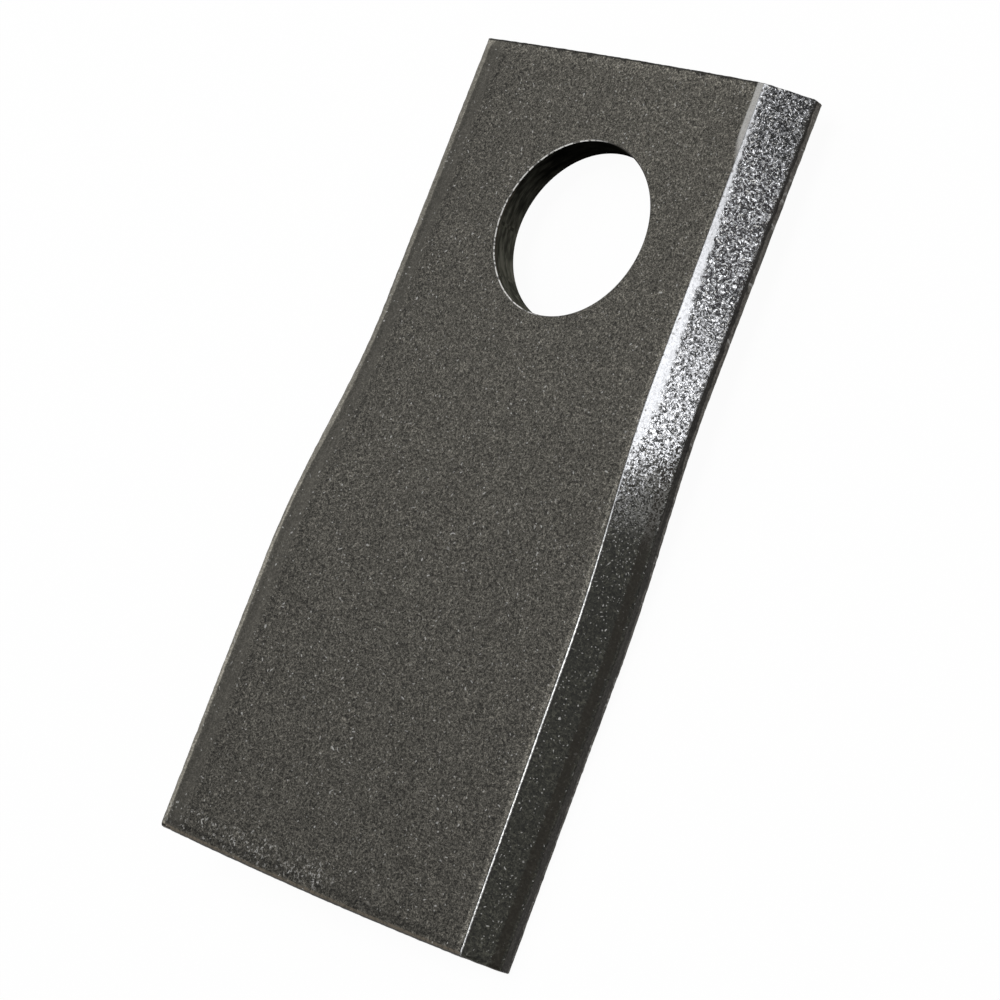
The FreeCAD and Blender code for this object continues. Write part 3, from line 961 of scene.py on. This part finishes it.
class MESH_OT_mower_blade(bpy.types.Operator):
    """Model the blade from a plain bar and give it its finish"""

    bl_idname = "mesh.mower_blade"
    bl_label = "Mower Blade"

    def execute(self, context):
        scene = context.scene
        sizes = scene.mower_blade_sizes
        edges = scene.mower_blade_edges
        finish = scene.mower_blade_finish
        blade = cut_bar(sizes)
        only(blade)
        bpy.ops.object.mode_set(mode="EDIT")
        for turn in (1, -1):
            grind_bevel(blade, sizes, edges, turn)
        for turn in (1, -1):
            round_long_edges(blade, sizes, edges, turn)
        divide_length(blade, sizes)
        round_ends(blade, sizes, edges)
        twist_bar(blade, sizes)
        bpy.ops.object.mode_set(mode="OBJECT")
        crown_ends(blade, sizes)
        wear_edges(blade, sizes, edges)
        bore_blade(blade, sizes, edges)
        only(blade)
        bpy.ops.object.shade_smooth_by_angle(angle=SMOOTH_ANGLE)
        apply_modifier(blade, "WEIGHTED_NORMAL", keep_sharp=True)
        for make in (face_finish, bevel_finish, land_finish, end_finish, bore_finish):
            blade.data.materials.append(make(sizes, finish))
        blade.vertex_groups.clear()
        mark_regions(blade, sizes, edges)
        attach(blade, "root")
        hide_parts(NODE)
        return {"FINISHED"}


class SCENE_OT_blade_stage(bpy.types.Operator):
    """Set the pale floor, the soft light and the camera"""

    bl_idname = "scene.blade_stage"
    bl_label = "Blade Stage"

    def execute(self, context):
        scene = context.scene
        settings = scene.mower_blade_stage
        floor = lay_floor(settings)
        light_world(scene, settings)
        for name, form in LAMPS.items():
            add_lamp(name, *form, getattr(settings, f"{name}_power"))
        scene.camera = place_camera(settings)
        scene.view_settings.view_transform = "Standard"
        return {"FINISHED"}


def lay_floor(settings):
    """A wide pale floor, curved up all round."""
    bpy.ops.object.select_all(action="DESELECT")
    bpy.ops.mesh.primitive_circle_add(vertices=FLOOR_SIDES, radius=FLOOR_RADIUS, fill_type="NGON",
                                      location=(0, 0, CAD_LOW.z))
    floor = bpy.context.active_object
    floor.name = "floor"
    bpy.ops.object.transform_apply(location=True, rotation=True, scale=True)
    bpy.ops.object.mode_set(mode="EDIT")
    for step in range(FLOOR_STEPS):
        select(floor, "EDGE", lambda edge: edge.is_boundary)
        slope = math.radians(90) * (step + 0.5) / FLOOR_STEPS
        out = 1 + FLOOR_GROWTH * math.cos(slope)
        rise = FLOOR_RISE * math.sin(slope)
        bpy.ops.mesh.extrude_region_move(TRANSFORM_OT_translate={"value": (0, 0, rise)})
        bpy.ops.transform.resize(value=(out, out, 1))
    bpy.ops.object.mode_set(mode="OBJECT")
    bpy.ops.object.shade_smooth()
    material = bpy.data.materials.new("pale_floor")
    material.use_nodes = True
    tree = material.node_tree
    shader = next(node for node in tree.nodes if node.type == "BSDF_PRINCIPLED")
    output = next(node for node in tree.nodes if node.type == "OUTPUT_MATERIAL")
    set_input(tree, shader.inputs["Base Color"], shade(settings.floor_colour))
    set_input(tree, shader.inputs["Roughness"], FLOOR_ROUGHNESS)
    set_input(tree, shader.inputs["Specular IOR Level"], 0.0)
    path = add_node(tree, "ShaderNodeLightPath").outputs
    rays = [Field(tree, path[kind]) for kind in ("Is Camera Ray", "Is Glossy Ray", "Is Transmission Ray")]
    seen = rays[0].at_least(rays[1]).at_least(rays[2])
    white = add_node(tree, "ShaderNodeEmission", {"Color": shade((1, 1, 1)), "Strength": 1.0})
    mixed = add_node(tree, "ShaderNodeMixShader",
                     {0: seen * settings.floor_glow, 1: shader.outputs[0], 2: white.outputs[0]})
    tree.links.new(mixed.outputs[0], output.inputs["Surface"])
    floor.data.materials.append(material)
    return floor


def light_world(scene, settings):
    """Even light from all round."""
    world = bpy.data.worlds.new("studio")
    world.use_nodes = True
    background = next(node for node in world.node_tree.nodes if node.type == "BACKGROUND")
    background.inputs["Color"].default_value = shade((1, 1, 1))
    background.inputs["Strength"].default_value = settings.surround
    scene.world = world


def add_lamp(name, place, degrees, size, watts):
    """A soft rectangular lamp at a place, turned by some degrees from facing straight down."""
    turn = [math.radians(part) for part in degrees]
    bpy.ops.object.light_add(type="AREA", location=place, rotation=turn)
    lamp = bpy.context.active_object
    lamp.name = name
    lamp.data.shape = "RECTANGLE"
    lamp.data.size, lamp.data.size_y = size
    lamp.data.energy = watts


def place_camera(settings):
    """The camera, where the photograph was taken from."""
    bpy.ops.object.camera_add(location=settings.camera_place, rotation=settings.camera_turn)
    camera = bpy.context.active_object
    camera.data.lens = settings.lens
    camera.data.sensor_width = SENSOR_WIDTH
    camera.data.clip_start = NEAREST
    camera.data.clip_end = FARTHEST
    return camera


class VIEW3D_PT_mower_blade(bpy.types.Panel):
    """Lists the sizes, finish and stage, with the buttons that make the blade and the stage"""

    bl_label = "Rotary Mower Blade"
    bl_space_type = "VIEW_3D"
    bl_region_type = "UI"
    bl_category = "Mower Blade"

    def draw(self, context):
        for key in GROUPS:
            group = getattr(context.scene, key)
            for name in group.bl_rna.properties.keys():
                if name not in ("rna_type", "name"):
                    self.layout.prop(group, name)
        self.layout.operator("mesh.mower_blade")
        self.layout.operator("scene.blade_stage")


GROUPS = {
    "mower_blade_sizes": BladeSizes,
    "mower_blade_edges": EdgeSizes,
    "mower_blade_finish": BladeFinish,
    "mower_blade_stage": StageSettings,
}
CLASSES = (*GROUPS.values(), MESH_OT_mower_blade, SCENE_OT_blade_stage, VIEW3D_PT_mower_blade)


def register():
    """Register the classes and give the scene its groups of properties."""
    for item in CLASSES:
        bpy.utils.register_class(item)
    for name, group in GROUPS.items():
        setattr(bpy.types.Scene, name, PointerProperty(type=group))


def unregister():
    """Take away what register gave."""
    for name in GROUPS:
        delattr(bpy.types.Scene, name)
    for item in reversed(CLASSES):
        bpy.utils.unregister_class(item)


def main():
    """Make the blade and the stage."""
    register()
    bpy.ops.mesh.mower_blade()
    bpy.ops.scene.blade_stage()


if __name__ == "__main__":
    main()
